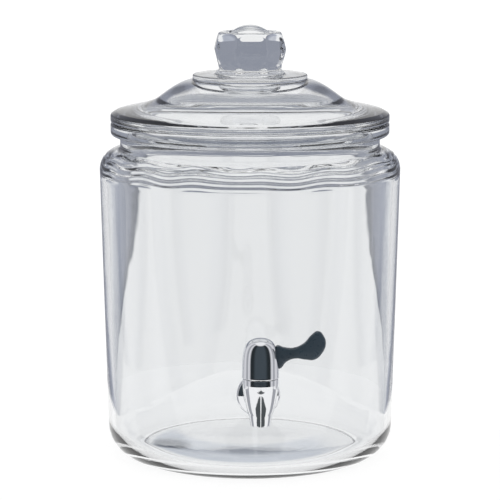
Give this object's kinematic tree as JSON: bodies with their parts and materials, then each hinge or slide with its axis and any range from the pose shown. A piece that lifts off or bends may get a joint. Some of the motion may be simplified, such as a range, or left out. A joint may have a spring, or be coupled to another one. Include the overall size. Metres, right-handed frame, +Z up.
{
  "type": "glass dispenser jar",
  "caption": "Clear glass dispenser jar with a lift-off glass lid, a faceted knob and a chrome side-lever tap low on its front.",
  "frame": {"origin": "on the jar's axis, level with the foot ring it stands on and 1.5 mm below the recessed base panel", "axes": "+Z up along the jar's axis, -Y towards the tap at the front, +X the way the lever points while the tap is shut"},
  "size_m": [0.2348, 0.278, 0.3386],
  "materials": {
    "glass": "clear, polished, slightly uneven pressed glass",
    "chrome": "bright chrome plating",
    "slate": "dark slate blue, semi-gloss",
    "silicone": "matte translucent grey",
    "steel": "plain stainless steel",
    "plug_plastic": "natural acetal"
  },
  "bodies": {
    "jar": {"jar": "glass", "tap_body": "chrome", "outer_gasket": "silicone", "inner_gasket": "silicone", "flat_washer": "steel", "lock_nut": "steel", "port_seal": "silicone", "snap_ring": "steel"},
    "lid": {"lid": "glass"},
    "valve": {"lever": "slate", "tap_cap": "chrome", "hub_screw": "steel", "valve_plug": "plug_plastic", "upper_o_ring": "silicone", "lower_o_ring": "silicone"}
  },
  "joints": [
    {"name": "lid_lift", "type": "slide", "parent": "jar", "child": "lid", "axis": [0, 0, 1], "range_m": [0, 0.12]},
    {"name": "lever_turn", "type": "hinge", "parent": "jar", "child": "valve", "pos_m": [0, -0.147, 0.09], "axis": [0, 0, -1], "range_deg": [0, 90]}
  ]
}
